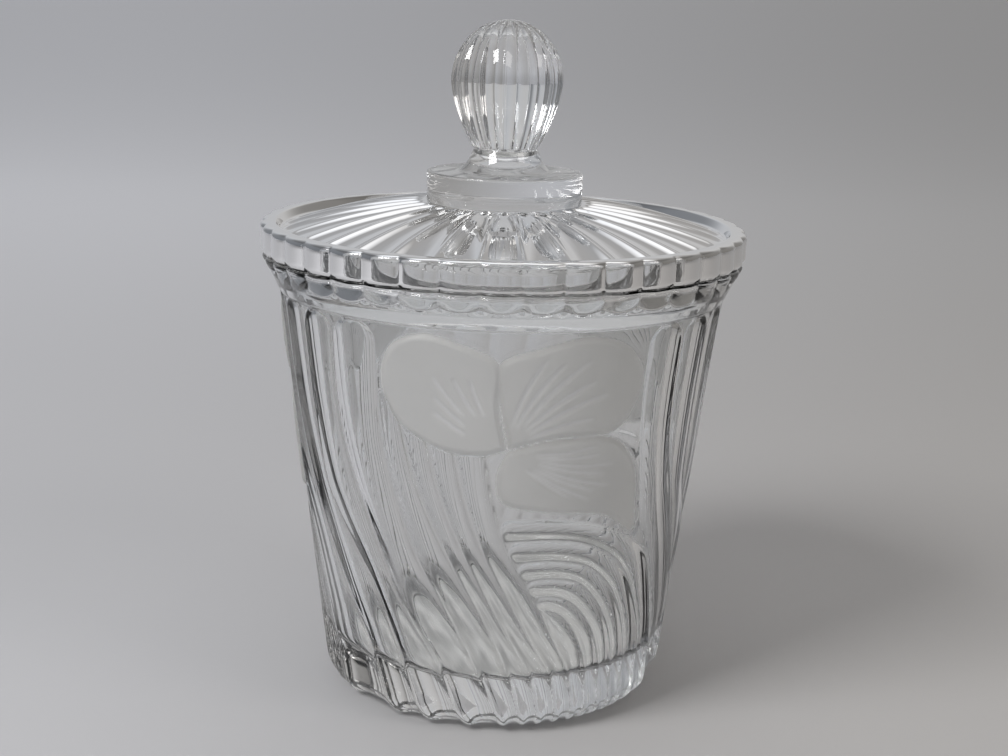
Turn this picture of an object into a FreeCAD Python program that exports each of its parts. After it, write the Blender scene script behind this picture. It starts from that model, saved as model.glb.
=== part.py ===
import FreeCAD, Part

import math
import os

# Pressed crystal biscuit jar with a lift-off lid and a ball knob. Millimetres, +Z up.
# The origin is the middle of the circle that the jar stands on.
# Angles are degrees round +Z, from the front (-Y) towards the right (+X).

Vec = FreeCAD.Vector
ORIGIN = Vec(0, 0, 0)
UP = Vec(0, 0, 1)

# Jar body
foot_radius = 46.7          # of the circle that the jar stands on
foot_corner = 10.0          # rounding between the foot and the wall
wall_lean = 7.0             # outward lean of the wall, degrees
jar_height = 143.6          # from the table to the seat of the lid
wall_thickness = 5.5
floor_thickness = 17.5
floor_corner = 4.0          # rounding between the floor and the wall, inside
recess_depth = 1.2          # of the hollow under the base
recess_margin = 4.0         # from the standing circle to that hollow

# Scalloped band round the rim, shared by the jar and the lid
rim_radius = 78.0           # of the lid's ring at its scallop crests
scallops = 40
scallop_depth = 1.1
band_inset = 0.8            # how much smaller the jar's band is than the lid's ring
band_height = 6.6           # of the ribbed part of the jar's band
band_flare = 3.0            # how much further out the band is at its top than at its lower edge
band_lip = 1.5              # upright part under the seat
band_slope = 4.5            # height over which the band runs in to the wall
band_edge = 0.3             # step where the band meets the wall
seat_round = 0.6            # edges of the seat between the jar and the lid

# Lid
seat_gap = 0.3              # between the jar's seat and the lid's ring
ring_height = 9.6
ring_width = 5.0            # from the outside of the ring to its inner edge
ring_round = 2.0
ring_foot = 1.6             # height of the ring's lower outside edge
ring_rise = 3.0             # of the ring over the edge of the dome
dome_rise = 9.8             # from the edge of the dome to the foot of the knob
dome_crown = 1.6            # bulge of the dome over a plain cone
dome_thickness = 5.0
locating_depth = 5.0        # of the ring that reaches into the mouth
locating_width = 4.0
locating_gap = 0.8          # between the mouth and that ring
dome_flutes = 32
dome_flute_depth = 1.3
dome_flute_tip = 4.0        # length of a flute's round end
dome_flute_margin = 1.0     # plain glass past each end of a flute

# Knob
disc_radius = 25.0
disc_height = 9.6
disc_edge = 0.8
collar_radius = 14.5        # at the foot of the collar
collar_height = 7.6
collar_waist = 0.3          # how far out the collar still is at half its height, as a share
neck_radius = 10.6
neck_step = 0.5             # of the ball's lower edge over the collar
ball_radius = 18.0
ball_height = 40.0          # from the neck to the top
ball_top = 19.0             # from the widest place of the ball to its top
ball_taper = 1.6            # how late the ball runs in to the neck
knob_flutes = 14
knob_flute_depth = 1.5
knob_crest = 0.45           # plain crest between two flutes
knob_turn = -3.5            # angle of the first crest

# Flutes and flowers of the wall
flowers = 3                 # the pattern repeats this often round the jar
flute_depth = 1.7
flute_dip = 0.16            # a narrow flute is this deep, as a share of its width
land = 0.9                  # plain crest between two flutes
arch_length = 6.5           # height of a flute's round top
fan_tip = 3.0               # length of a fan flute's round start
foot_fade = 4.0             # stretch over which flutes run out at the foot
fan_margin = 1.6            # plain glass between the fan's flutes and the standing circle
petal_rise = 0.9            # of the petals over the wall
petal_seam = 0.9            # gap between two petals
petal_root = 0.5            # how far the petals reach below the bottoms of the flutes

# The pattern is drawn for three flowers on a wall of this height, and is stretched to the sizes above.
DRAWN_SECTOR = 120.0
DRAWN_HEIGHT = 132.5
PETAL_COVER = 112.0         # the flutes under the petals run out by this height
PETAL_LOW = 60.0            # lower than every petal
FLOWER_MIDDLE = 3.7         # angle of the middle of a flower

# Ridges of one flower's share of the wall, left to right. Each is the crest between two flutes,
# as (angle, height) points from its top to the foot, where the height is written as 0.
LEFT_RIDGES = [
    [(-82, 134), (-82, 110), (-80, 92), (-76, 69), (-70, 54), (-65, 40), (-60, 24), (-57, 4), (-56, 0)],
    [(-69.5, 134), (-69.5, 110), (-67.5, 92), (-61, 71), (-53, 52), (-46.5, 38), (-40, 24), (-33, 0)],
    [(-57, 134), (-57, 105), (-54.5, 80), (-50, 69), (-42, 56), (-36.5, 46), (-28.5, 24), (-20, 0)],
    [(-44.5, 134), (-45, 105), (-42, 85), (-35.5, 65), (-29.5, 48), (-23, 35), (-16, 23), (-6, 0)],
    [(-30.5, 134), (-31, 105), (-29.5, 88), (-23, 63), (-16, 48), (-10, 36), (-4, 23), (3, 6), (5, 0)],
]
MIDDLE_RIDGES = [
    [(-31, 108), (-29.5, 88), (-23, 63), (-16, 48), (-10, 36), (-4, 23), (3, 6), (5, 0)],
    [(-25.5, 108), (-22.5, 89), (-17, 71), (-9, 53), (-2, 39), (5.5, 21), (10, 6), (12, 0)],
    [(-19, 108), (-15.5, 84), (-9.5, 65), (-2, 48), (5, 34), (12, 21), (16, 6), (17.5, 0)],
    [(-12.5, 108), (-8.5, 82), (-3, 63), (4.5, 47), (11, 34), (18.5, 21), (22, 6), (23.5, 0)],
    [(-4, 108), (-0.5, 82), (4, 65), (11, 50), (17, 36), (24, 22), (28, 6), (29.5, 0)],
]
FAN_RIDGES = [
    [(13.8, 44), (16.5, 37.5), (20, 30), (24, 22), (28, 6), (29.5, 0)],
    [(15, 44), (20, 41.5), (24.5, 36), (28, 29), (30, 22), (33, 6), (34, 0)],
    [(12, 48.6), (19, 47.6), (25, 43.5), (31, 35), (34, 27), (35.5, 20), (38, 6), (39, 0)],
    [(9.5, 54), (18, 54), (25, 51.5), (31, 45), (36, 36.5), (39, 28), (40.5, 20), (43, 6), (44, 0)],
    [(6.5, 60), (17, 60), (27, 57), (35, 49.5), (40, 41), (44, 30), (46, 20), (48, 6), (49, 0)],
    [(4, 67), (15, 67), (25, 65), (35, 59), (42, 50.5), (48, 38), (52, 26), (55, 6), (56, 0)],
    [(1.5, 74.5), (15, 74), (27, 71.5), (37, 67), (46, 60), (51.5, 52), (56, 38), (60, 24), (64, 0)],
]

# The petals of one flower meet in a corner. The rest of each outline is smooth.
PETAL_JOINT = (2.5, 96.3)
PETALS = [
    [(0.3, 110), (0, 123), (-10, 129), (-19, 131), (-27, 126), (-30, 115), (-26, 103), (-15, 95.5), (-4, 94)],
    [(14, 99.6), (30, 100.5), (36.5, 109), (37.5, 119), (31, 128), (21, 131), (10, 128), (0, 123), (0.3, 110)],
    [(-0.2, 88), (2, 79), (14, 76), (30, 73.5), (41, 66), (41, 76), (38.5, 89), (30, 99), (14, 99.6)],
]

# Working values of the cuts and outlines
cut_lift = 0.15             # how far over the glass the round bottom of a cut ends
cut_reach = 2.5             # how far a cut reaches past that
CUT_START = 0.02            # share of a flute's round end at which its cut begins
CUT_STATIONS = 11
FOOT_STEPS = 5
WALL_STEPS = 14
ARCH_SHARES = (0.62, 0.35, 0.15, 0.04, 0)
BALL_SHARES = (0, 0.1, 0.2, 0.3, 0.42, 0.54, 0.66, 0.76, 0.85, 0.92, 0.97, 0.99, 0.998)

sector = 360.0 / flowers
lean = math.radians(wall_lean)
foot_top = foot_corner * (1 - math.sin(lean))
foot_edge = foot_radius + foot_corner * math.cos(lean)
foot_end = foot_top - foot_corner * (0.5 * math.pi - lean)
arch_top = jar_height - band_height - band_slope
seat = jar_height + seat_gap
ring_top = seat + ring_height
dome_edge = ring_top - ring_rise
knob_low = dome_edge + dome_rise


def around(angle, radius, height):
    """The point at an angle from the front, a radius and a height."""
    turn = math.radians(angle)
    return Vec(radius * math.sin(turn), -radius * math.cos(turn), height)


def wall_tilt(rise):
    """How far the outside faces down at a distance up the wall, which is negative on the foot."""
    return lean + max(foot_top - rise, 0) / foot_corner


def wall_radius(rise):
    if rise >= foot_top:
        return foot_edge + (rise - foot_top) * math.tan(lean)
    return foot_radius + foot_corner * math.cos(wall_tilt(rise))


def wall_height(rise):
    if rise >= foot_top:
        return rise
    return foot_corner * (1 - math.sin(wall_tilt(rise)))


def wall_point(angle, rise):
    return around(angle, wall_radius(rise), wall_height(rise))


def wall_outward(angle, rise):
    tilt = wall_tilt(rise)
    return around(angle, math.cos(tilt), -math.sin(tilt))


def inside_radius(height):
    """The radius of the jar's inside wall at a height."""
    return wall_radius(height) - wall_thickness / math.cos(lean)


def laid(point):
    """A drawn point of the pattern on the real wall."""
    angle, height = point
    if height == 0:
        rise = foot_end + fan_margin
    else:
        rise = height * arch_top / DRAWN_HEIGHT
    return angle * sector / DRAWN_SECTOR, rise


def smooth(points):
    """A smooth curve through points."""
    curve = Part.BSplineCurve()
    curve.interpolate(points)
    return curve


def bowed(start, middle, end):
    """A shallow curved edge from start to end that passes through middle."""
    curve = Part.BezierCurve()
    curve.setPoles([start, middle * 2 - (start + end) * 0.5, end])
    return curve.toShape()


def straight_edges(points):
    """Straight edges from each (radius, height) point to the next."""
    corners = [Vec(radius, 0, height) for radius, height in points]
    return [Part.makeLine(start, end) for start, end in zip(corners, corners[1:])]


def revolved(edges):
    """The solid that a closed profile sweeps round the axis."""
    return Part.Face(Part.Wire(edges)).revolve(ORIGIN, UP, 360)


def turned(shape, count):
    """Copies of a shape, evenly round the axis."""
    copies = []
    for index in range(count):
        copy = shape.copy()
        copy.rotate(ORIGIN, UP, index * 360.0 / count)
        copies.append(copy)
    return copies


def opened(travelled, length):
    """How far a round-ended flute has opened, 0 to 1, at a distance from its end."""
    rest = 1 - min(travelled / length + CUT_START, 1)
    return math.sqrt(1 - rest * rest)


def cut_outline(left, right, middle, outward, depth):
    """A round-bottomed outline from left to right, this deep under middle, closed over the glass."""
    halfway = (left + right) * 0.5
    bottom = halfway + outward * ((middle - halfway).dot(outward) - depth)
    left_edge = left + outward * cut_lift
    right_edge = right + outward * cut_lift
    left_top = left_edge + outward * cut_reach
    right_top = right_edge + outward * cut_reach
    return Part.Wire([
        bowed(left_edge, bottom, right_edge),
        Part.makeLine(right_edge, right_top),
        Part.makeLine(right_top, left_top),
        Part.makeLine(left_top, left_edge),
    ])


def scallop_outline(radius, height, depth):
    """An outline of convex scallops with their crests at a radius."""
    step = 360.0 / scallops
    edges = []
    for index in range(scallops):
        crest = index * step
        edges.append(Part.Arc(
            around(crest - 0.5 * step, radius - depth, height),
            around(crest, radius, height),
            around(crest + 0.5 * step, radius - depth, height),
        ).toShape())
    return Part.Wire(edges)


def ridge_angle(ridge, rise):
    """The angle of a ridge at a distance up the wall, on a smooth line through its points."""
    points = [laid(point) for point in ridge]
    if rise >= points[0][1]:
        return points[0][0]
    slopes = [(low[0] - high[0]) / (low[1] - high[1]) for high, low in zip(points, points[1:])]
    at_point = [slopes[0]] + [0.5 * (a + b) for a, b in zip(slopes, slopes[1:])] + [slopes[-1]]
    index = 0
    while index < len(points) - 2 and rise < points[index + 1][1]:
        index += 1
    (start, high), (end, low) = points[index], points[index + 1]
    share = (rise - high) / (low - high)
    back = 1 - share
    bend = at_point[index] * back - at_point[index + 1] * share
    return (start * back * back * (1 + 2 * share) + end * share * share * (1 + 2 * back)
            + (low - high) * share * back * bend)


def flute_marks(rise):
    """The upright flutes of one flower's share at a height: their two edges and their depth."""
    radius = wall_radius(rise)
    half_land = 0.5 * math.degrees(land / radius)
    foot_share = min(1.0, (rise - foot_end) / foot_fade)
    arch_share = opened(max(arch_top - rise, 0), arch_length)
    petal_share = max(0.0, min(1.0, (laid((0, PETAL_COVER))[1] - rise) / foot_fade))
    marks = []
    for ridges, narrowing, run_out in (
            (LEFT_RIDGES, arch_share, arch_share),
            (MIDDLE_RIDGES, 1.0, petal_share)):
        for left_ridge, right_ridge in zip(ridges, ridges[1:]):
            left = ridge_angle(left_ridge, rise)
            right = ridge_angle(right_ridge, rise)
            middle = 0.5 * (left + right)
            half = (0.5 * (right - left) - half_land) * narrowing
            depth = min(flute_depth, flute_dip * math.radians(right - left) * radius)
            marks.append((middle - half, middle + half, run_out * foot_share * depth))
    return marks


def wall_outline(rise):
    """The outline of the fluted wall at a distance up it: a flute, its land, and so on round."""
    radius = wall_radius(rise)
    height = wall_height(rise)
    marks = flute_marks(rise)
    following = [mark[0] for mark in marks[1:]] + [marks[0][0] + sector]
    edges = []
    for flower in range(flowers):
        turn = flower * sector
        for (left, right, depth), after in zip(marks, following):
            end = around(right + turn, radius, height)
            bottom = around(0.5 * (left + right) + turn, radius - depth, height)
            crest = around(0.5 * (right + after) + turn, radius, height)
            edges.append(bowed(around(left + turn, radius, height), bottom, end))
            edges.append(bowed(end, crest, around(after + turn, radius, height)))
    return Part.Wire(edges)


def fluted_wall():
    """The solid inside the fluted outside, from the table to the tops of the flutes."""
    straight_top = arch_top - arch_length
    rises = [foot_end + (foot_top - foot_end) * step / FOOT_STEPS for step in range(FOOT_STEPS)]
    rises += [foot_top + (straight_top - foot_top) * step / WALL_STEPS for step in range(WALL_STEPS + 1)]
    rises += [arch_top - share * arch_length for share in ARCH_SHARES]
    return Part.makeLoft([wall_outline(rise) for rise in rises], True, False)


def fan_flute(left_ridge, right_ridge):
    """The cut between two ridges of the fan, which starts level and curves down to the foot."""
    flat_scale = math.radians(1) * wall_radius(0.5 * arch_top)
    curves = []
    for ridge in (left_ridge, right_ridge):
        points = [laid(point) for point in ridge]
        curves.append(smooth([Vec(angle * flat_scale, rise, 0) for angle, rise in points]))
    outlines = []
    for station in range(CUT_STATIONS):
        share = (station / (CUT_STATIONS - 1.0)) ** 1.5
        ends = []
        for curve in curves:
            flat = curve.value(curve.parameterAtDistance(share * curve.length(), curve.FirstParameter))
            ends.append((flat.x / flat_scale, flat.y))
        middle = (0.5 * (ends[0][0] + ends[1][0]), 0.5 * (ends[0][1] + ends[1][1]))
        width = (wall_point(*ends[1]) - wall_point(*ends[0])).Length
        wide = opened(share * curves[0].length(), fan_tip)
        keep = wide * (1 - land / width)
        left, right = [
            wall_point(middle[0] + keep * (angle - middle[0]), middle[1] + keep * (rise - middle[1]))
            for angle, rise in ends]
        depth = wide * min(flute_depth, flute_dip * width)
        outlines.append(cut_outline(left, right, wall_point(*middle), wall_outward(*middle), depth))
    return Part.makeLoft(outlines, True, False)


def petal_layer():
    """The layer on the wall that the petals fill."""
    low = laid((0, PETAL_LOW))[1]
    root = flute_depth + petal_root
    return revolved(straight_edges([
        (wall_radius(low) - root, low),
        (wall_radius(low) + petal_rise, low),
        (wall_radius(arch_top) + petal_rise, arch_top),
        (wall_radius(arch_top) - root, arch_top),
        (wall_radius(low) - root, low),
    ]))


def petal(outline, layer):
    """One petal, drawn on a plane in front of its flower and taken out of the layer on the wall."""
    flower_angle = laid((FLOWER_MIDDLE, 0))[0]
    points = []
    for angle, rise in [laid(point) for point in [PETAL_JOINT] + outline + [PETAL_JOINT]]:
        across = wall_radius(rise) * math.sin(math.radians(angle - flower_angle))
        points.append(Vec(across, -0.5 * foot_radius, rise))
    centre = sum(points[1:], points[0]) * (1.0 / len(points))
    reach = max((point - centre).Length for point in points)
    keep = 1 - 0.5 * petal_seam / reach
    edge = smooth([centre + (point - centre) * keep for point in points]).toShape()
    block = Part.Face(Part.Wire([edge])).extrude(Vec(0, -rim_radius, 0))
    block.rotate(ORIGIN, UP, flower_angle)
    return block.common(layer)


def jar_band():
    """The scalloped band at the jar's rim, whose top is the seat of the lid."""
    radius = rim_radius - band_inset
    return Part.makeLoft([
        scallop_outline(wall_radius(arch_top) + band_edge, arch_top, 0),
        scallop_outline(radius - band_flare, jar_height - band_height, scallop_depth),
        scallop_outline(radius, jar_height - band_lip, scallop_depth),
        scallop_outline(radius, jar_height - seat_round, scallop_depth),
        scallop_outline(radius - seat_round, jar_height, scallop_depth),
    ], True, True)


def cavity():
    """The inside of the jar, open at the top."""
    top = jar_height + cut_reach
    low_radius = inside_radius(floor_thickness)
    shape = revolved(straight_edges([
        (0, floor_thickness),
        (low_radius, floor_thickness),
        (inside_radius(top), top),
        (0, top),
        (0, floor_thickness),
    ]))
    corner = [edge for edge in shape.Edges
              if edge.BoundBox.ZMax < 0.5 * jar_height and edge.BoundBox.XLength > low_radius]
    return shape.makeFillet(floor_corner, corner)


def jar():
    """The jar: fluted wall, flowers, band and thick base."""
    cuts = []
    for left_ridge, right_ridge in zip(FAN_RIDGES, FAN_RIDGES[1:]):
        cuts += turned(fan_flute(left_ridge, right_ridge), flowers)
    layer = petal_layer()
    petals = []
    for outline in PETALS:
        petals += turned(petal(outline, layer), flowers)
    recess_radius = foot_radius - recess_margin
    recess = Part.makeCone(recess_radius, recess_radius - recess_depth, recess_depth)
    body = fluted_wall().cut(cuts).fuse(petals).fuse(jar_band())
    return body.cut([cavity(), recess])


def dome_cuts(dome):
    """The round-ended flutes that run up the dome."""
    length = dome.length() - 2 * dome_flute_margin
    outlines = []
    for station in range(CUT_STATIONS):
        travelled = length * station / (CUT_STATIONS - 1.0)
        where = dome.parameterAtDistance(dome_flute_margin + travelled, dome.FirstParameter)
        point = dome.value(where)
        along = dome.tangent(where)[0]
        outward = Vec(abs(along.z), 0, abs(along.x))
        wide = opened(min(travelled, length - travelled), dome_flute_tip)
        width = 2 * point.x * math.sin(math.pi / dome_flutes)
        side = Vec(0, 0.5 * wide * (width - land), 0)
        depth = wide * min(dome_flute_depth, flute_dip * width)
        outlines.append(cut_outline(point - side, point + side, point, outward, depth))
    return turned(Part.makeLoft(outlines, True, False), dome_flutes)


def lid():
    """The lid: scalloped ring, fluted dome and the locating ring that reaches into the mouth."""
    ring_inside = rim_radius - ring_width
    dome_radius = ring_inside - 0.5 * ring_rise
    locating_low = seat - locating_depth
    locating_radius = inside_radius(locating_low) - locating_gap
    under_radius = locating_radius - locating_width
    under_height = seat + 0.5 * ring_rise
    under_top = knob_low - dome_thickness
    dome = Part.Arc(
        Vec(dome_radius, 0, dome_edge),
        Vec(0.5 * (disc_radius + dome_radius), 0, 0.5 * (dome_edge + knob_low) + dome_crown),
        Vec(disc_radius, 0, knob_low))
    under = Part.Arc(
        Vec(disc_radius, 0, under_top),
        Vec(0.5 * (disc_radius + under_radius), 0, 0.5 * (under_height + under_top) + dome_crown),
        Vec(under_radius, 0, under_height))
    ring = straight_edges([
        (under_radius, under_height),
        (under_radius, locating_low),
        (locating_radius, locating_low),
        (inside_radius(seat) - locating_gap, seat),
        (rim_radius - band_inset - seat_round, seat),
        (rim_radius, seat + ring_foot),
        (rim_radius, ring_top - ring_round),
        (rim_radius - ring_round, ring_top),
        (ring_inside, ring_top),
        (dome_radius, dome_edge),
    ])
    boss = straight_edges([(disc_radius, knob_low), (0, knob_low), (0, under_top), (disc_radius, under_top)])
    scallop_block = Part.Face(scallop_outline(rim_radius, 0, scallop_depth)).extrude(UP * (knob_low + cut_reach))
    body = revolved(ring + [dome.toShape()] + boss + [under.toShape()]).common(scallop_block)
    return body.cut(dome_cuts(dome))


def ball_radius_at(height):
    """The radius of the ball at its crests, at a height over the neck."""
    waist = ball_height - ball_top
    if height > waist:
        return ball_radius * math.sqrt(1 - ((height - waist) / ball_top) ** 2)
    return neck_radius + (ball_radius - neck_radius) * (1 - ((waist - height) / waist) ** ball_taper)


def ball_outline(share, neck):
    """The fluted outline of the ball at a share of its height."""
    radius = ball_radius_at(share * ball_height)
    height = neck + share * ball_height
    step = 360.0 / knob_flutes
    half_crest = 0.5 * math.degrees(knob_crest / ball_radius)
    depth = min(knob_flute_depth, flute_dip * math.radians(step) * radius)
    edges = []
    for index in range(knob_flutes):
        crest = knob_turn + (index + 1) * step
        start = around(crest - step + half_crest, radius, height)
        bottom = around(crest - 0.5 * step, radius - depth, height)
        end = around(crest - half_crest, radius, height)
        edges.append(bowed(start, bottom, end))
        edges.append(bowed(end, around(crest, radius, height), around(crest + half_crest, radius, height)))
    return Part.Wire(edges)


def knob():
    """The knob: fluted ball, collar and round foot."""
    disc_top = knob_low + disc_height
    neck = disc_top + collar_height
    collar_top = neck_radius - neck_step
    collar = Part.Arc(
        Vec(collar_radius, 0, disc_top),
        Vec(collar_top + collar_waist * (collar_radius - collar_top), 0, disc_top + 0.5 * collar_height),
        Vec(collar_top, 0, neck))
    disc = straight_edges([
        (0, knob_low),
        (disc_radius, knob_low),
        (disc_radius, disc_top - disc_edge),
        (disc_radius - disc_edge, disc_top),
        (collar_radius, disc_top),
    ])
    middle = straight_edges([(collar_top, neck), (0, neck), (0, knob_low)])
    ball = Part.makeLoft([ball_outline(share, neck) for share in BALL_SHARES], True, False)
    return revolved(disc + [collar.toShape()] + middle).fuse(ball)


os.makedirs("parts", exist_ok=True)
for name, make in (("jar", jar), ("lid", lid), ("knob", knob)):
    shape = make()
    print(name, shape.isValid(), len(shape.Solids), round(shape.Volume))
    shape.exportStep("parts/" + name + ".step")
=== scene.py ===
import math

import bpy
import numpy as np
from mathutils import Matrix, Vector


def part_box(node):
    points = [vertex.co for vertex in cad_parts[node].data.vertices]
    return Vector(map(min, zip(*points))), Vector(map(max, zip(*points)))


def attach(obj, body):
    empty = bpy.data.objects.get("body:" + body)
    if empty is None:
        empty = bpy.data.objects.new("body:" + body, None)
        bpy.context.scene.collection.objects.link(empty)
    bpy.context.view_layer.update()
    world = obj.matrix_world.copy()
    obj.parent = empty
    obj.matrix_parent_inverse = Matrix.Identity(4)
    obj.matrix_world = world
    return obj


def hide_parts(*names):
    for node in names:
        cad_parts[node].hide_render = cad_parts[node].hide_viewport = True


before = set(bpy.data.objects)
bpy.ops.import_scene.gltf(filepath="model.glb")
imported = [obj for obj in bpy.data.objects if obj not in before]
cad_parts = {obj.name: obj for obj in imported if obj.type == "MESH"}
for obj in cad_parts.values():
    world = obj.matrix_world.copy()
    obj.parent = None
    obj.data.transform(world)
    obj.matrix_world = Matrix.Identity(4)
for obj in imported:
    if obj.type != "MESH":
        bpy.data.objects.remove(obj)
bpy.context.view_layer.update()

# A pressed crystal biscuit jar: jar, lid and knob, each one skin of glass.
# Lengths are millimetres until a mesh is made. Angles are degrees from the front (-Y) towards the right.
# The third value of each corner of a profile is its rounding.

MM = 0.001
jar_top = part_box("jar")[1].z / MM
rim_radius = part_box("lid")[1].x / MM
knob_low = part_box("knob")[0].z / MM
knob_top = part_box("knob")[1].z / MM
disc_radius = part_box("knob")[1].x / MM

# Jar body
FOOT_RADIUS = 46.7
FOOT_CORNER = 10.0
LEAN = math.radians(7.0)
WALL_THICKNESS = 5.5
FLOOR = 17.5
FLOOR_CORNER = 4.0
RECESS_DEPTH = 1.2
RECESS_RADIUS = 42.7

# Scalloped band and ring
SCALLOPS = 40
SCALLOP_DEPTH = 1.1
BAND_INSET = 0.8
BAND_HEIGHT = 6.6
BAND_FLARE = 3.0
BAND_LIP = 1.5
BAND_SLOPE = 4.5
BAND_EDGE = 0.3
BAND_START = 0.05           # the band starts this far above the fluted wall
SEAT_ROUND = 0.6
SEAT_FADE = 2.0             # the scallops fade out over this width of the seat
STAND_INSET = 0.3
MIDDLE_RADIUS = 4.0         # radius of the ring next to the middle point of a flat

# Flutes and flowers
FLOWERS = 3
SECTOR = 360.0 / FLOWERS
FLUTE_DEPTH = 1.7
FLUTE_DIP = 0.16
FLUTE_POWER = 2.5
LAND = 0.9
ARCH_LENGTH = 6.5
FAN_TIP = 3.0
FOOT_FADE = 4.0
FOOT_MARGIN = 1.6
FAN_FADE = 2.0
PETAL_COVER = 112.0
PETAL_RISE = 0.9
PETAL_EDGE = 1.6
PETAL_SEAM = 0.9
PETAL_LEVEL = 105.0         # height at which the petals' angles are turned into widths
FROST_OVERLAP = 0.1         # how far the frost runs over a petal's edge
FROST_FADE = 0.35

LEFT_RIDGES = [
    [(-82, 134), (-82, 110), (-80, 92), (-76, 69), (-70, 54), (-65, 40), (-60, 24), (-57, 4), (-56, 0)],
    [(-69.5, 134), (-69.5, 110), (-67.5, 92), (-61, 71), (-53, 52), (-46.5, 38), (-40, 24), (-33, 0)],
    [(-57, 134), (-57, 105), (-54.5, 80), (-50, 69), (-42, 56), (-36.5, 46), (-28.5, 24), (-20, 0)],
    [(-44.5, 134), (-45, 105), (-42, 85), (-35.5, 65), (-29.5, 48), (-23, 35), (-16, 23), (-6, 0)],
    [(-30.5, 134), (-31, 105), (-29.5, 88), (-23, 63), (-16, 48), (-10, 36), (-4, 23), (3, 6), (5, 0)],
]
MIDDLE_RIDGES = [
    [(-31, 108), (-29.5, 88), (-23, 63), (-16, 48), (-10, 36), (-4, 23), (3, 6), (5, 0)],
    [(-25.5, 108), (-22.5, 89), (-17, 71), (-9, 53), (-2, 39), (5.5, 21), (10, 6), (12, 0)],
    [(-19, 108), (-15.5, 84), (-9.5, 65), (-2, 48), (5, 34), (12, 21), (16, 6), (17.5, 0)],
    [(-12.5, 108), (-8.5, 82), (-3, 63), (4.5, 47), (11, 34), (18.5, 21), (22, 6), (23.5, 0)],
    [(-4, 108), (-0.5, 82), (4, 65), (11, 50), (17, 36), (24, 22), (28, 6), (29.5, 0)],
]
FAN_RIDGES = [
    [(13.8, 44), (16.5, 37.5), (20, 30), (24, 22), (28, 6), (29.5, 0)],
    [(15, 44), (20, 41.5), (24.5, 36), (28, 29), (30, 22), (33, 6), (34, 0)],
    [(12, 48.6), (19, 47.6), (25, 43.5), (31, 35), (34, 27), (35.5, 20), (38, 6), (39, 0)],
    [(9.5, 54), (18, 54), (25, 51.5), (31, 45), (36, 36.5), (39, 28), (40.5, 20), (43, 6), (44, 0)],
    [(6.5, 60), (17, 60), (27, 57), (35, 49.5), (40, 41), (44, 30), (46, 20), (48, 6), (49, 0)],
    [(4, 67), (15, 67), (25, 65), (35, 59), (42, 50.5), (48, 38), (52, 26), (55, 6), (56, 0)],
    [(1.5, 74.5), (15, 74), (27, 71.5), (37, 67), (46, 60), (51.5, 52), (56, 38), (60, 24), (64, 0)],
]
PETAL_JOINT = (2.5, 96.3)
LEFT_PETAL = [
    (0.3, 110), (0, 123), (-10, 129), (-19, 131), (-27, 126), (-30, 115), (-26, 103), (-15, 95.5), (-4, 94)]
RIGHT_PETAL = [
    (14, 99.6), (30, 100.5), (36.5, 109), (37.5, 119), (31, 128), (21, 131), (10, 128), (0, 123), (0.3, 110)]
LOWER_PETAL = [
    (-0.2, 88), (2, 79), (14, 76), (30, 73.5), (41, 66), (41, 76), (38.5, 89), (30, 99), (14, 99.6)]

# Each petal's outline and its cut veins: how many, the first and last direction from the joint in
# degrees, the shortest and longest reach in mm, the share of it where a vein starts, and its bend.
PETALS = [
    (LEFT_PETAL, 5, (122, 158), (20, 31), 0.52, -12),
    (RIGHT_PETAL, 6, (76, 26), (25, 36), 0.24, -16),
    (LOWER_PETAL, 8, (-4, -42), (22, 36), 0.3, 12),
]
VEIN_WIDTH = 0.55
VEIN_DEPTH = 0.6
VEIN_WHITE = 0.4            # how far a cut goes past full frost, up to white
VEIN_STEPS = 9
VEIN_PIVOT = 0.6            # share of its reach at which a bent vein has its own direction
VEIN_TAPER = 0.25           # share of its length over which a vein runs out at each end
VEIN_SHORTER = 0.08         # every second vein is shorter by this share

# Lid and knob
SEAT_GAP = 0.3
RING_HEIGHT = 9.6
RING_WIDTH = 5.0
RING_ROUND = 2.0
RING_FOOT = 1.6
RING_RISE = 3.0
DOME_CROWN = 1.6
DOME_THICKNESS = 5.0
LOCATING_DEPTH = 5.0
LOCATING_WIDTH = 4.0
LOCATING_GAP = 0.8
DOME_FLUTES = 32
DOME_FLUTE_DEPTH = 1.3
DOME_FLUTE_TIP = 4.0
DOME_FLUTE_MARGIN = 1.0
DOME_DROP = 0.01            # the ring starts this far under the dome's edge
RING_FADE = 2.5             # the scallops fade out over this width of the ring's top
UNDER_LAND = 0.4
UNDER_RADII = (20, 12, 4)
DISC_HEIGHT = 9.6
COLLAR_RADIUS = 14.5
COLLAR_HEIGHT = 7.6
NECK_RADIUS = 10.6
NECK_STEP = 0.5
BALL_RADIUS = 18.0
BALL_TOP = 19.0
BALL_TAPER = 1.6
KNOB_FLUTES = 14
KNOB_FLUTE_DEPTH = 1.5
KNOB_CREST = 0.45
KNOB_TURN = -3.5

# How finely the skins are divided: columns round the axis, rows, and steps along a profile in mm
WALL_COLUMNS = 900
WALL_STEP = 0.6
FOOT_ROWS = 22
CORNER_ROWS = 6
BAND_STEP = 0.7
INSIDE_STEP = 2.5
UNDERSIDE_STEP = 3
RING_STEP = 0.8
LOCATING_STEP = 1.5
DISC_STEP = 0.8
DOME_ROWS = 90
UNDER_ROWS = 24
COLUMNS_PER_FLUTE = 26
TAPER_ROWS = 40
BALL_ROWS = 44

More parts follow.
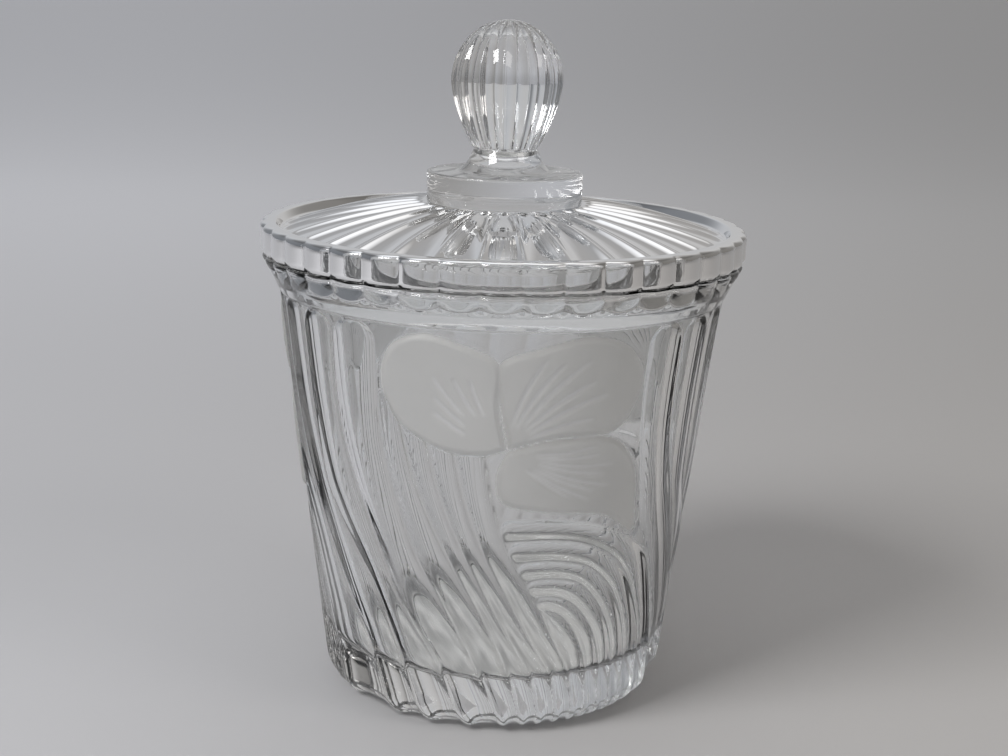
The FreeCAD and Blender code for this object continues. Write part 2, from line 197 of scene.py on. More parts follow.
# Glass: noise scales are per metre, heights are metres
GLASS_IOR = 1.53
CLEAR_COLOUR = (0.985, 0.99, 0.99, 1)
CUT_COLOUR = (1, 1, 1, 1)
SATIN_COLOURS = ((0.74, 0.74, 0.72, 1), (0.86, 0.855, 0.83, 1))
SATIN_ROUGHNESS = 0.5
SATIN_CLEARNESS = 0.68
CLOUD_SCALE = 60
GRAIN_SCALE = 2600
GRAIN_STRENGTH = 0.2
GRAIN_HEIGHT = 0.0001
JAR_RIPPLE = 0.08
LID_RIPPLE = 0.06
RIPPLE_SCALE = 90
RIPPLE_HEIGHT = 0.0006
HAZE_SCALE = 45
HAZE_NOISE = (0.45, 0.8)
HAZE_ROUGHNESS = 0.012

# The photograph's viewing point, in metres and radians
CAMERA_DISTANCE = 0.52366
CAMERA_HEIGHT = 0.2310
CAMERA_PITCH = 0.2425
CAMERA_ROLL = 0.0286
CAMERA_YAW = 0.003
CAMERA_LENS = 58.23
CAMERA_SENSOR = 36
CAMERA_CLIP = 0.01

# Stage, in metres. Colours are linear and go from left to right. The floor's colours are painted light and
# shade: lighter far away, cooler to the left, darker and warmer to the right.
FLOOR_NEAR_PAINTED_LIGHT = ((0.50, 0.50, 0.515, 1), (0.46, 0.445, 0.43, 1))
FLOOR_FAR_PAINTED_LIGHT = ((0.90, 0.91, 0.95, 1), (0.60, 0.59, 0.58, 1))
FLOOR_ACROSS = (-0.3, 0.38)
FLOOR_AWAY = (0.05, 1.3)
FLOOR_SPREAD = 0.7
FLOOR_ROUGHNESS = 0.9
FLOOR_SIZE = 60.0
FLOOR_DROP = 0.0002
# Colours, radius and mottling of a painted pool of light that the floor emits under the jar, in place of the
# light the glass throws there
PAINTED_CAUSTIC_COLOURS = ((0.13, 0.13, 0.125, 1), (0.36, 0.355, 0.345, 1))
PAINTED_CAUSTIC_RADIUS = (0.047, 0.043)
PAINTED_CAUSTIC_SCALE = 48
PAINTED_CAUSTIC_NOISE = (0.38, 0.62)

# Sky: (height of the direction, colour), its tint from left to right, and its level by side
SKY = [
    (0.0, (0.45, 0.45, 0.45, 1)),
    (0.46, (0.50, 0.50, 0.50, 1)),
    (0.60, (0.36, 0.355, 0.35, 1)),
    (0.80, (0.36, 0.355, 0.35, 1)),
    (0.92, (1.15, 1.15, 1.15, 1)),
]
SKY_TINT = ((0.94, 1.0, 1.10, 1), (1.05, 1.0, 0.94, 1))
SKY_FRONT = 0.60
SKY_BACK = 1.05
SKY_SIDES = 0.45
SKY_SIDE_RANGE = (0.3, 0.7)

# Lamps: name, place, size, watts, colour
LAMPS = [
    ("key", (-0.72, -0.62, 0.98), 0.5, 11.5, (1.0, 1.0, 1.0)),
    ("fill", (1.0, -0.6, 0.9), 0.5, 2.5, (1.0, 0.96, 0.92)),
]
LAMP_AIM = (0, 0, 0.08)

foot_top = FOOT_CORNER * (1 - math.sin(LEAN))
foot_edge = FOOT_RADIUS + FOOT_CORNER * math.cos(LEAN)
foot_end = foot_top - FOOT_CORNER * (0.5 * math.pi - LEAN)
arch_top = jar_top - BAND_HEIGHT - BAND_SLOPE
seat = jar_top + SEAT_GAP
ring_top = seat + RING_HEIGHT
dome_edge = ring_top - RING_RISE


def camera():
    """The camera at the photograph's viewing angle, slightly above the lid and slightly rolled."""
    level = math.cos(CAMERA_PITCH)
    forward = Vector((
        math.sin(CAMERA_YAW) * level, math.cos(CAMERA_YAW) * level, -math.sin(CAMERA_PITCH)))
    across = Vector((math.cos(CAMERA_YAW), -math.sin(CAMERA_YAW), 0))
    above = across.cross(forward)
    right = across * math.cos(CAMERA_ROLL) + above * math.sin(CAMERA_ROLL)
    up = above * math.cos(CAMERA_ROLL) - across * math.sin(CAMERA_ROLL)
    data = bpy.data.cameras.new("camera")
    data.lens = CAMERA_LENS
    data.sensor_width = CAMERA_SENSOR
    data.clip_start = CAMERA_CLIP
    made = bpy.data.objects.new("camera", data)
    bpy.context.scene.collection.objects.link(made)
    turn = Matrix((right, up, -forward)).transposed().to_4x4()
    made.matrix_world = Matrix.Translation((0, -CAMERA_DISTANCE, CAMERA_HEIGHT)) @ turn
    bpy.context.scene.camera = made


def new_material(name):
    material = bpy.data.materials.new(name)
    material.use_nodes = True
    return material, material.node_tree, material.node_tree.nodes["Principled BSDF"]


def add(tree, kind, values, output=0, **settings):
    """A new node's output, with values or other outputs on its inputs."""
    node = tree.nodes.new("ShaderNode" + kind)
    for name, setting in settings.items():
        setattr(node, name, setting)
    for name, value in values.items():
        if isinstance(value, bpy.types.NodeSocket):
            tree.links.new(value, node.inputs[name])
        else:
            node.inputs[name].default_value = value
    return node.outputs[output]


def noise(tree, place, scale, detail):
    return add(tree, "TexNoise", {"Vector": place, "Scale": scale, "Detail": detail}, "Fac")


def mixed(tree, factor, first, second):
    return add(tree, "Mix", {"Factor": factor, "A": first, "B": second}, "Result", data_type="RGBA")


def ranged(tree, value, start, end, low=0.0, high=1.0, kind="LINEAR"):
    """A value that goes from low to high while another goes from start to end."""
    values = {"Value": value, "From Min": start, "From Max": end, "To Min": low, "To Max": high}
    return add(tree, "MapRange", values, "Result", interpolation_type=kind)


def crystal(name, ripple):
    """Clear polished crystal with the faint ripple and haze that pressing leaves on it."""
    material, tree, shader = new_material(name)
    shader.inputs["Base Color"].default_value = CLEAR_COLOUR
    shader.inputs["Transmission Weight"].default_value = 1.0
    shader.inputs["IOR"].default_value = GLASS_IOR
    place = add(tree, "TexCoord", {}, "Object")
    wave = noise(tree, place, RIPPLE_SCALE, 2)
    normal = add(tree, "Bump", {"Strength": ripple, "Distance": RIPPLE_HEIGHT, "Height": wave}, "Normal")
    haze = ranged(tree, noise(tree, place, HAZE_SCALE, 5), *HAZE_NOISE, 0.0, HAZE_ROUGHNESS)
    tree.links.new(normal, shader.inputs["Normal"])
    tree.links.new(haze, shader.inputs["Roughness"])
    return material


def satin(name):
    """Acid-frosted crystal with a fine grain and whiter cuts, which fades to clear at its edge."""
    material, tree, shader = new_material(name)
    shader.inputs["IOR"].default_value = GLASS_IOR
    place = add(tree, "TexCoord", {}, "Object")
    frost = add(tree, "Attribute", {}, "Fac", attribute_name="frost")
    tint = mixed(tree, noise(tree, place, CLOUD_SCALE, 6), *SATIN_COLOURS)
    cut = mixed(tree, ranged(tree, frost, 1.0, 1.0 + VEIN_WHITE), tint, CUT_COLOUR)
    grain = noise(tree, place, GRAIN_SCALE, 3)
    normal = add(
        tree, "Bump", {"Strength": GRAIN_STRENGTH, "Distance": GRAIN_HEIGHT, "Height": grain}, "Normal")
    for socket, source in (
            ("Base Color", mixed(tree, frost, CLEAR_COLOUR, cut)),
            ("Roughness", ranged(tree, frost, 0, 1, 0.0, SATIN_ROUGHNESS)),
            ("Transmission Weight", ranged(tree, frost, 0, 1, 1.0, SATIN_CLEARNESS)),
            ("Normal", normal)):
        tree.links.new(source, shader.inputs[socket])
    return material


def ring_mesh(name, rings, materials, faces_of=None, frost=None, cap_start=True, cap_end=True):
    """A skin of rings of points, closed round the axis, with a point in the middle of each capped end."""
    rows, columns = rings.shape[:2]
    points = rings.reshape(-1, 3)
    row, column = np.meshgrid(np.arange(rows - 1), np.arange(columns), indexing="ij")
    after = (column + 1) % columns
    quads = np.stack([
        row * columns + column, row * columns + after,
        (row + 1) * columns + after, (row + 1) * columns + column], -1).reshape(-1, 4)
    slots = np.zeros(len(quads), np.int32) if faces_of is None else faces_of.reshape(-1)
    faces = quads.tolist()
    caps = []
    around = np.arange(columns)
    if cap_start:
        points = np.vstack([points, rings[0].mean(0)])
        middle = len(points) - 1
        caps += [(middle, int((i + 1) % columns), int(i)) for i in around]
    if cap_end:
        points = np.vstack([points, rings[-1].mean(0)])
        middle = len(points) - 1
        base = (rows - 1) * columns
        caps += [(middle, int(base + i), int(base + (i + 1) % columns)) for i in around]
    mesh = bpy.data.meshes.new(name)
    mesh.from_pydata((points * MM).tolist(), [], faces + caps)
    for material in materials:
        mesh.materials.append(material)
    mesh.polygons.foreach_set("material_index", np.concatenate([slots, np.zeros(len(caps), np.int32)]))
    mesh.polygons.foreach_set("use_smooth", np.ones(len(mesh.polygons), bool))
    if frost is not None:
        values = np.zeros(len(points), np.float32)
        values[:rows * columns] = frost.reshape(-1)
        mesh.attributes.new("frost", "FLOAT", "POINT").data.foreach_set("value", values)
    mesh.update()
    made = bpy.data.objects.new(name, mesh)
    bpy.context.scene.collection.objects.link(made)
    return made


def rounded(points, step):
    """A profile through (radius, height, rounding) corners, with points at most this step apart."""
    corners = []
    for index, (radius, height, rounding) in enumerate(points):
        here = np.array([radius, height], float)
        if rounding == 0 or index in (0, len(points) - 1):
            corners.append([here])
            continue
        before = np.array(points[index - 1][:2], float) - here
        after = np.array(points[index + 1][:2], float) - here
        start = here + before * rounding / np.linalg.norm(before)
        end = here + after * rounding / np.linalg.norm(after)
        corners.append([(1 - t) ** 2 * start + 2 * t * (1 - t) * here + t * t * end
                        for t in np.linspace(0, 1, CORNER_ROWS)])
    made = []
    for corner in corners:
        if made:
            gap = np.linalg.norm(corner[0] - made[-1])
            pieces = max(int(math.ceil(gap / step)), 1)
            last = made[-1]
            made += [last + (corner[0] - last) * k / pieces for k in range(1, pieces)]
        made += list(corner)
    return np.array(made)


def smooth_line(points, closed=False, steps=10):
    """Points along a smooth curve through points, by centripetal weights."""
    points = [np.array(point, float) for point in points]
    if closed:
        line = [points[-1]] + points + points[:2]
    else:
        line = [2 * points[0] - points[1]] + points + [2 * points[-1] - points[-2]]
    made = []
    for a, b, c, d in zip(line, line[1:], line[2:], line[3:]):
        for step in range(steps):
            t = step / steps
            made.append(0.5 * ((2 * b) + (c - a) * t + (2 * a - 5 * b + 4 * c - d) * t ** 2
                               + (3 * b - a - 3 * c + d) * t ** 3))
    if not closed:
        made.append(points[-1])
    return np.array(made)


def near_line(place, line):
    """Distance, side and distance travelled of the nearest point of a line, for an array of places."""
    starts, spans = line[:-1], line[1:] - line[:-1]
    lengths = np.linalg.norm(spans, axis=1)
    travelled = np.concatenate([[0], np.cumsum(lengths)])
    best = np.full(place.shape[:-1], 1e9)
    side = np.zeros(place.shape[:-1])
    along = np.zeros(place.shape[:-1])
    for start, span, length, before in zip(starts, spans, lengths, travelled):
        offset = place - start
        share = (offset @ span) / length ** 2
        held = np.clip(share, 0, 1)
        gap = np.hypot(offset[..., 0] - held * span[0], offset[..., 1] - held * span[1])
        closer = gap < best - 1e-9
        best = np.where(closer, gap, best)
        side = np.where(closer, span[0] * offset[..., 1] - span[1] * offset[..., 0], side)
        along = np.where(closer, before + share * length, along)
    return best, side, along


def wall_tilt(rise):
    return LEAN + np.maximum(foot_top - rise, 0) / FOOT_CORNER


def wall_radius(rise):
    return np.where(
        rise >= foot_top,
        foot_edge + (rise - foot_top) * math.tan(LEAN),
        FOOT_RADIUS + FOOT_CORNER * np.cos(wall_tilt(rise)))


def wall_height(rise):
    return np.where(rise >= foot_top, rise, FOOT_CORNER * (1 - np.sin(wall_tilt(rise))))


def inside_radius(height):
    return float(wall_radius(height)) - WALL_THICKNESS / math.cos(LEAN)


def laid(points):
    """Points of the pattern with the foot's height put in."""
    return [(angle, height if height else foot_end + FOOT_MARGIN) for angle, height in points]


def opened(travelled, length):
    """How far a round-ended flute has opened at a distance from its end."""
    return np.sqrt(1 - (1 - np.clip(travelled / length, 0, 1)) ** 2)


def dip(across, width, wide, depth):
    """How deep a flute is at a place across it, from -1 to 1 between the crests either side."""
    reach = wide * (1 - LAND / width)
    share = np.where(reach > 0.02, across / np.maximum(reach, 0.02), 2)
    return np.where(np.abs(share) < 1, depth * (1 - np.abs(share) ** FLUTE_POWER), 0)


def upright_flutes(angle, rise):
    """Depth of the arched flutes and of those that run up under the petals."""
    radius = wall_radius(rise)
    foot_share = np.clip((rise - foot_end) / FOOT_FADE, 0, 1)
    arch_share = opened(arch_top - rise, ARCH_LENGTH)
    petal_share = np.clip((PETAL_COVER - rise) / FOOT_FADE, 0, 1)
    depth = np.zeros_like(angle)
    for ridges, narrowing, run_out in (
            (LEFT_RIDGES, arch_share, arch_share),
            (MIDDLE_RIDGES, np.ones_like(rise), petal_share)):
        lines = []
        for ridge in ridges:
            line = smooth_line(laid(ridge))[::-1]
            lines.append(np.interp(rise, line[:, 1], line[:, 0]))
        for left, right in zip(lines, lines[1:]):
            width = np.radians(right - left) * radius
            centred = (angle - 0.5 * (left + right) + 0.5 * SECTOR) % SECTOR - 0.5 * SECTOR
            across = centred / (0.5 * (right - left))
            full = np.minimum(FLUTE_DEPTH, FLUTE_DIP * width) * run_out * foot_share
            depth = np.maximum(depth, dip(across, width, narrowing, full))
    return depth


def fan_flutes(angle, rise):
    """Depth of the fan of flutes that start level under the flower and curve down to the foot."""
    flat = math.radians(1) * float(wall_radius(0.5 * arch_top))
    depth = np.zeros_like(angle)
    middle = 0.5 * (FAN_RIDGES[0][0][0] + FAN_RIDGES[-1][-1][0])
    turn = (angle - middle + 0.5 * SECTOR) % SECTOR - 0.5 * SECTOR + middle
    place = np.stack([turn * flat, rise], -1)
    found = []
    for ridge in FAN_RIDGES:
        line = smooth_line(laid(ridge)) * np.array([flat, 1])
        found.append(near_line(place, line))
    for (near, side, along), (next_near, next_side, next_along) in zip(found, found[1:]):
        width = near + next_near
        inside = (side > 0) & (next_side < 0) & (next_along > 0) & (along > -FAN_TIP)
        across = 2 * near / width - 1
        wide = opened(np.maximum(next_along, 0), FAN_TIP)
        full = np.minimum(FLUTE_DEPTH, FLUTE_DIP * width) * wide
        foot_share = np.clip((rise - foot_end - FOOT_MARGIN) / FAN_FADE, 0, 1)
        depth = np.maximum(depth, np.where(inside, dip(across, width, wide, full) * foot_share, 0))
    return depth


def vein_lines(flat, count, directions, reaches, start, bend):
    """The cut veins of a petal as lines from near its root towards its edge."""
    origin = np.array(PETAL_JOINT) * np.array([flat, 1])
    for index in range(count):
        share = index / (count - 1)
        direction = directions[0] + (directions[1] - directions[0]) * share
        reach = reaches[0] + (reaches[1] - reaches[0]) * math.sin(math.pi * (0.15 + 0.7 * share))
        reach *= 1 - VEIN_SHORTER * (index % 2)
        points = []
        for step in np.linspace(start, 1, VEIN_STEPS):
            turn = math.radians(direction + bend * (step - VEIN_PIVOT))
            points.append(origin + step * reach * np.array([math.cos(turn), math.sin(turn)]))
        yield np.array(points)


def flowers(angle, rise):
    """Height of the petals over the wall, and how frosted the glass is: 1 when full, more in a cut."""
    flat = math.radians(1) * float(wall_radius(PETAL_LEVEL))
    turn = (angle - PETAL_JOINT[0] + 0.5 * SECTOR) % SECTOR - 0.5 * SECTOR + PETAL_JOINT[0]
    place = np.stack([turn * flat, rise], -1)
    height = np.zeros_like(angle)
    frost = np.zeros_like(angle)
    for petal, *veins in PETALS:
        outline = smooth_line([PETAL_JOINT] + petal + [PETAL_JOINT]) * np.array([flat, 1])
        near = near_line(place, outline)[0]
        winding = np.zeros(place.shape[:-1], int)
        for (x0, y0), (x1, y1) in zip(outline, outline[1:]):
            crosses = (y0 > place[..., 1]) != (y1 > place[..., 1])
            where = x0 + (place[..., 1] - y0) * (x1 - x0) / (y1 - y0 if y1 != y0 else 1)
            winding += crosses & (place[..., 0] < where)
        inset = np.where(winding % 2 == 1, near, -near) - 0.5 * PETAL_SEAM
        rise_share = np.clip(inset / PETAL_EDGE, 0, 1)
        puff = PETAL_RISE * rise_share ** 2 * (3 - 2 * rise_share)
        bare = np.zeros_like(puff)
        for line in vein_lines(flat, *veins):
            gap, _, along = near_line(place, line)
            length = np.linalg.norm(np.diff(line, axis=0), axis=1).sum()
            taper = np.clip(np.minimum(along, length - along) / (VEIN_TAPER * length), 0, 1)
            groove = np.sqrt(taper) * np.exp(-(gap / VEIN_WIDTH) ** 2) * (inset > 0)
            puff = puff - VEIN_DEPTH * groove
            bare = np.maximum(bare, groove)
        height = np.where(inset > 0, puff, height)
        full = np.clip(1 + (inset + FROST_OVERLAP) / FROST_FADE, 0, 1)
        frost = np.maximum(frost, full + VEIN_WHITE * bare)
    return height, frost


def scallop(angle):
    """How far the edge of a scallop is drawn in, 0 at its crest and 1 in the valley."""
    return (2 * (((angle * SCALLOPS / 360.0) + 0.5) % 1.0 - 0.5)) ** 2


def turned_rings(angles, radius, height):
    turn = np.radians(angles)
    return np.stack([radius * np.sin(turn), -radius * np.cos(turn), height + 0 * radius], -1)


def lathed(angles, profile):
    """The rings of a plain turned profile of (radius, height) points."""
    return turned_rings(angles[None, :], profile[:, :1] + 0 * angles[None, :], profile[:, 1:])


def jar(clear, frosted):
    """The jar as one skin: underside, fluted wall, band, seat, inside wall and floor."""
    angles = np.arange(WALL_COLUMNS) * 360.0 / WALL_COLUMNS
    foot_rises = np.linspace(foot_end, foot_top, FOOT_ROWS)
    wall_rises = np.linspace(foot_top, arch_top, int((arch_top - foot_top) / WALL_STEP))[1:]
    rises = np.concatenate([foot_rises, wall_rises])
    angle, rise = np.meshgrid(angles, rises)
    petals, frost = flowers(angle, rise)
    cut = np.maximum(upright_flutes(angle, rise), fan_flutes(angle, rise))
    proud = np.where(petals > 0, petals, -cut * (1 - np.clip(frost, 0, 1)))
    tilt = wall_tilt(rise)
    wall = turned_rings(
        angle,
        wall_radius(rise) + proud * np.cos(tilt),
        wall_height(rise) - proud * np.sin(tilt) * (rise < foot_top))

    band_radius = rim_radius - BAND_INSET
    band_profile = rounded([
        (float(wall_radius(arch_top)) + BAND_EDGE, arch_top + BAND_START, 0.1),
        (band_radius - BAND_FLARE, jar_top - BAND_HEIGHT, 0.5),
        (band_radius, jar_top - BAND_LIP, 0.6),
        (band_radius, jar_top - SEAT_ROUND, 0.3),
        (band_radius - SEAT_ROUND, jar_top, 0.3),
        (band_radius - SEAT_ROUND - SEAT_FADE, jar_top, 0),
    ], BAND_STEP)
    band_share = np.clip((band_profile[:, 1] - arch_top) / BAND_SLOPE, 0, 1)
    seat_inside = band_radius - SEAT_ROUND - SEAT_FADE
    band_share *= np.clip((band_profile[:, 0] - seat_inside) / SEAT_FADE, 0, 1)
    band = turned_rings(
        angles[None, :],
        band_profile[:, :1] - SCALLOP_DEPTH * band_share[:, None] * scallop(angles)[None, :],
        band_profile[:, 1:])

    low_inside = inside_radius(FLOOR)
    inside_profile = rounded([
        (seat_inside - SEAT_FADE, jar_top, 0),
        (inside_radius(jar_top), jar_top, 0.5),
        (low_inside, FLOOR, FLOOR_CORNER),
        (MIDDLE_RADIUS, FLOOR, 0),
    ], INSIDE_STEP)

    under_profile = rounded([
        (MIDDLE_RADIUS, RECESS_DEPTH, 0),
        (RECESS_RADIUS - RECESS_DEPTH, RECESS_DEPTH, 0.4),
        (RECESS_RADIUS, 0, 0.4),
        (FOOT_RADIUS - STAND_INSET, 0, 0),
    ], UNDERSIDE_STEP)
    under = lathed(angles, under_profile)

    rings = np.concatenate([under, wall, band, lathed(angles, inside_profile)])
    frosts = np.zeros(rings.shape[:2])
    frosts[len(under):len(under) + len(wall)] = frost
    near_frost = frosts + sum(np.roll(frosts, shift, axis) for shift in (-2, 2) for axis in (0, 1))
    slots = (near_frost[:-1] > 0).astype(np.int32)
    return ring_mesh("jar_glass", rings, [clear, frosted], slots, frosts)


def arc_through(start, middle, end, count):
    """Points on the circle through three (radius, height) points."""
    (ax, ay), (bx, by), (cx, cy) = start, middle, end
    a, b, c = (x ** 2 + y ** 2 for x, y in (start, middle, end))
    twice = 2 * (ax * (by - cy) + bx * (cy - ay) + cx * (ay - by))
    x = (a * (by - cy) + b * (cy - ay) + c * (ay - by)) / twice
    y = (a * (cx - bx) + b * (ax - cx) + c * (bx - ax)) / twice
    radius = math.hypot(ax - x, ay - y)
    turns = np.linspace(math.atan2(ay - y, ax - x), math.atan2(cy - y, cx - x), count)
    return np.stack([x + radius * np.cos(turns), y + radius * np.sin(turns)], -1)


def lid(clear):
    """The lid as one skin, open only where the knob is joined to it."""
    angles = np.arange(WALL_COLUMNS) * 360.0 / WALL_COLUMNS
    ring_inside = rim_radius - RING_WIDTH
    dome_radius = ring_inside - 0.5 * RING_RISE
    locating_low = seat - LOCATING_DEPTH
    locating_radius = inside_radius(locating_low) - LOCATING_GAP
    under_radius = locating_radius - LOCATING_WIDTH
    under_height = seat + 0.5 * RING_RISE
    under_top = knob_low - DOME_THICKNESS
    dome = arc_through(
        (disc_radius, knob_low),
        (0.5 * (disc_radius + dome_radius), 0.5 * (dome_edge + knob_low) + DOME_CROWN),
        (dome_radius, dome_edge), DOME_ROWS)
    travelled = np.linalg.norm(dome - dome[0], axis=1)
    length = travelled[-1]
    angle, where = np.meshgrid(angles, travelled)
    width = 2 * dome[:, :1] * math.sin(math.pi / DOME_FLUTES)
    wide = np.minimum(
        opened(where - DOME_FLUTE_MARGIN, DOME_FLUTE_TIP),
        opened(length - DOME_FLUTE_MARGIN - where, DOME_FLUTE_TIP))
    across = 2 * ((angle * DOME_FLUTES / 360.0 + 0.5) % 1.0 - 0.5)
    cut = dip(across, width, wide, wide * np.minimum(DOME_FLUTE_DEPTH, FLUTE_DIP * width))
    along = np.gradient(dome, axis=0)
    along /= np.linalg.norm(along, axis=1)[:, None]
    dome_rings = turned_rings(
        angle, dome[:, :1] + cut * along[:, 1:], dome[:, 1:] - cut * along[:, :1])

    seat_radius = rim_radius - BAND_INSET - SEAT_ROUND
    rim_profile = rounded([
        (dome_radius, dome_edge - DOME_DROP, 0),
        (ring_inside, ring_top, 0.5),
        (rim_radius, ring_top, RING_ROUND),
        (rim_radius, seat + RING_FOOT, 0.5),
        (seat_radius, seat, 0.4),
        (seat_radius - SEAT_FADE, seat, 0),
    ], RING_STEP)[1:]
    fade = np.clip((rim_profile[:, 0] - ring_inside) / RING_FADE, 0, 1)
    rim = turned_rings(
        angles[None, :],
        rim_profile[:, :1] - SCALLOP_DEPTH * fade[:, None] * scallop(angles)[None, :],
        rim_profile[:, 1:])

    under_arc = arc_through(
        (under_radius, under_height),
        (0.5 * (disc_radius + under_radius), 0.5 * (under_height + under_top) + DOME_CROWN),
        (disc_radius, under_top), UNDER_ROWS)
    lower = rounded([
        (seat_radius - 2 * SEAT_FADE, seat, 0),
        (inside_radius(seat) - LOCATING_GAP, seat, 0.4),
        (locating_radius, locating_low, 0.6),
        (under_radius, locating_low, 0.6),
        (under_radius, under_height - UNDER_LAND, 0),
    ], LOCATING_STEP)
    flat = np.array([[radius, under_top] for radius in UNDER_RADII])
    under = lathed(angles, np.concatenate([lower, under_arc, flat]))
    return ring_mesh("lid_glass", np.concatenate([dome_rings, rim, under]), [clear], cap_start=False)


def knob(clear):
    """The knob as one skin, open only where it is joined to the lid."""
    disc_top = knob_low + DISC_HEIGHT
    neck = disc_top + COLLAR_HEIGHT
    collar_top = NECK_RADIUS - NECK_STEP
    columns = KNOB_FLUTES * COLUMNS_PER_FLUTE
    angles = KNOB_TURN + np.arange(columns) * 360.0 / columns
    disc = rounded([
        (disc_radius, knob_low, 0),
        (disc_radius, disc_top, 0.8),
        (COLLAR_RADIUS, disc_top, 0.8),
        (collar_top + 0.3 * (COLLAR_RADIUS - collar_top), disc_top + 0.5 * COLLAR_HEIGHT, 2.5),
        (collar_top, neck, 0),
    ], DISC_STEP)
    height = knob_top - neck
    waist = height - BALL_TOP
    turns = np.linspace(0, 0.5 * math.pi, BALL_ROWS)[1:-1]
    rises = np.concatenate([np.linspace(0, waist, TAPER_ROWS), height - BALL_TOP * (1 - np.sin(turns))])
    below = NECK_RADIUS + (BALL_RADIUS - NECK_RADIUS) * (
        1 - (np.clip(waist - rises, 0, None) / waist) ** BALL_TAPER)
    above = BALL_RADIUS * np.sqrt(np.clip(1 - ((rises - waist) / BALL_TOP) ** 2, 0, 1))
    radius = np.where(rises > waist, above, below)[:, None]
    step = 360.0 / KNOB_FLUTES
    across = 2 * (((angles - KNOB_TURN) / step) % 1.0 - 0.5)[None, :]
    reach = 1 - KNOB_CREST / BALL_RADIUS / math.radians(step)
    depth = np.minimum(KNOB_FLUTE_DEPTH, FLUTE_DIP * math.radians(step) * radius)
    cut = np.where(np.abs(across) < reach, depth * (1 - (across / reach) ** 2), 0)
    ball = turned_rings(angles[None, :], radius - cut, (neck + rises)[:, None])
    rings = np.concatenate([lathed(angles, disc), ball])
    return ring_mesh("knob_glass", rings, [clear], cap_start=False)


def floor():
    """A pale floor that fills the view. Its colour is painted light and shade, lighter far away and darker
    and warmer to the right. Under the jar it emits a painted pool of light, seen only by the camera and
    through the glass, in place of the light that the glass throws under itself.
    """
    material, tree, shader = new_material("floor")
    shader.inputs["Roughness"].default_value = FLOOR_ROUGHNESS
    place = add(tree, "TexCoord", {}, "Object")
    parts = add(tree, "SeparateXYZ", {"Vector": place}).node.outputs
    depth = add(tree, "Math", {0: parts["Y"]}, operation="ABSOLUTE")
    spread = add(tree, "Math", {0: depth, 1: FLOOR_SPREAD}, operation="ADD")
    aside = add(tree, "Math", {0: parts["X"], 1: spread}, operation="DIVIDE")
    across = ranged(tree, aside, *FLOOR_ACROSS, kind="SMOOTHSTEP")
    away = ranged(tree, parts["Y"], *FLOOR_AWAY, kind="SMOOTHSTEP")
    # painted light and shade: the floor's colour is lighter far away and darker and warmer towards the right
    plain = mixed(tree, away, mixed(tree, across, *FLOOR_NEAR_PAINTED_LIGHT), mixed(tree, across, *FLOOR_FAR_PAINTED_LIGHT))
    # painted caustic light: a mottled emission inside the jar's footprint
    painted_caustic_spots = ranged(tree, noise(tree, place, PAINTED_CAUSTIC_SCALE, 1), *PAINTED_CAUSTIC_NOISE)
    radius = add(tree, "VectorMath", {0: place}, "Value", operation="LENGTH")
    under = ranged(tree, radius, *PAINTED_CAUSTIC_RADIUS, kind="SMOOTHSTEP")
    rays = tree.nodes.new("ShaderNodeLightPath").outputs
    seen = rays["Is Camera Ray"]
    for kind in ("Is Glossy Ray", "Is Transmission Ray"):
        seen = add(tree, "Math", {0: seen, 1: rays[kind]}, operation="MAXIMUM")
    # the painted light under the jar is emitted only towards camera, glossy and transmission rays
    painted_caustic_strength = add(tree, "Math", {0: under, 1: seen}, operation="MULTIPLY")
    tree.links.new(plain, shader.inputs["Base Color"])
    tree.links.new(mixed(tree, painted_caustic_spots, *PAINTED_CAUSTIC_COLOURS), shader.inputs["Emission Color"])
    tree.links.new(painted_caustic_strength, shader.inputs["Emission Strength"])

    mesh = bpy.data.meshes.new("floor")
    corners = [(FLOOR_SIZE * x, FLOOR_SIZE * y, 0) for x, y in ((-1, -1), (1, -1), (1, 1), (-1, 1))]
    mesh.from_pydata(corners, [], [(0, 1, 2, 3)])
    mesh.materials.append(material)
    made = bpy.data.objects.new("floor", mesh)
    made.location.z = -FLOOR_DROP
    bpy.context.scene.collection.objects.link(made)


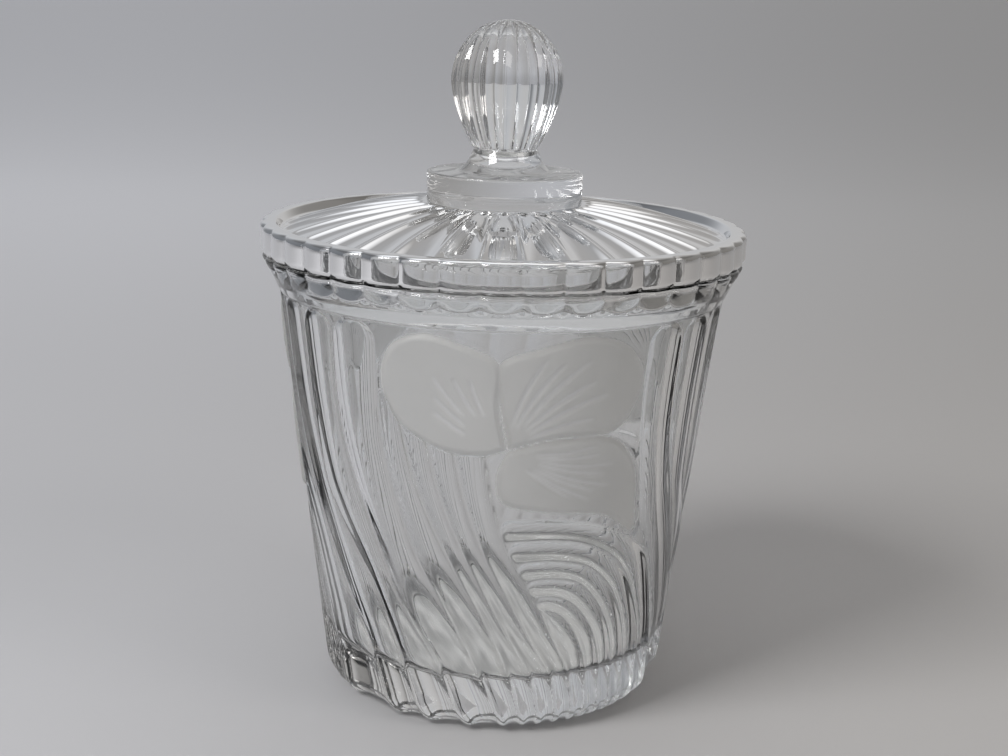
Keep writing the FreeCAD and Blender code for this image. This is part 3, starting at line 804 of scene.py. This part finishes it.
def sky():
    """A soft sky, bright overhead, dim above the middle, and dimmer to the sides and the front."""
    world = bpy.data.worlds.new("world")
    world.use_nodes = True
    bpy.context.scene.world = world
    tree = world.node_tree
    direction = add(tree, "TexCoord", {}, "Generated")
    parts = add(tree, "SeparateXYZ", {"Vector": direction}).node.outputs
    rise = add(tree, "ValToRGB", {"Fac": parts["Z"]}, "Color")
    stops = rise.node.color_ramp.elements
    stops[0].position, stops[0].color = SKY[0]
    stops[1].position, stops[1].color = SKY[-1]
    for position, colour in SKY[1:-1]:
        stops.new(position).color = colour
    tint = mixed(tree, ranged(tree, parts["X"], -1, 1), *SKY_TINT)
    tinted = add(tree, "VectorMath", {0: rise, 1: tint}, operation="MULTIPLY")
    aside = add(tree, "Math", {0: parts["X"]}, operation="ABSOLUTE")
    edges = ranged(tree, aside, *SKY_SIDE_RANGE, 1, SKY_SIDES, "SMOOTHSTEP")
    depth = ranged(tree, parts["Y"], -1, 1, SKY_FRONT, SKY_BACK)
    level = add(tree, "Math", {0: depth, 1: edges}, operation="MULTIPLY")
    dimmed = add(tree, "VectorMath", {0: tinted, "Scale": level}, operation="SCALE")
    tree.links.new(dimmed, tree.nodes["Background"].inputs["Color"])


def lamps():
    for name, place, size, power, colour in LAMPS:
        data = bpy.data.lights.new(name, "AREA")
        data.size = size
        data.energy = power
        data.color = colour
        lamp = bpy.data.objects.new(name, data)
        lamp.location = place
        aim = Vector(LAMP_AIM) - Vector(place)
        lamp.rotation_euler = aim.to_track_quat("-Z", "Y").to_euler()
        bpy.context.scene.collection.objects.link(lamp)


camera()
floor()
sky()
lamps()
bpy.context.scene.view_settings.view_transform = "Standard"

jar_glass = jar(crystal("crystal_jar", JAR_RIPPLE), satin("satin_petals"))
lid_glass = lid(crystal("crystal_lid", LID_RIPPLE))
knob_glass = knob(crystal("crystal_knob", LID_RIPPLE))
for piece, body, node, slot in (
        (jar_glass, "jar_body", "jar", "crystal_jar"),
        (lid_glass, "lid_body", "lid", "crystal_lid"),
        (knob_glass, "lid_body", "knob", "crystal_knob")):
    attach(piece, body)
    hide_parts(node)
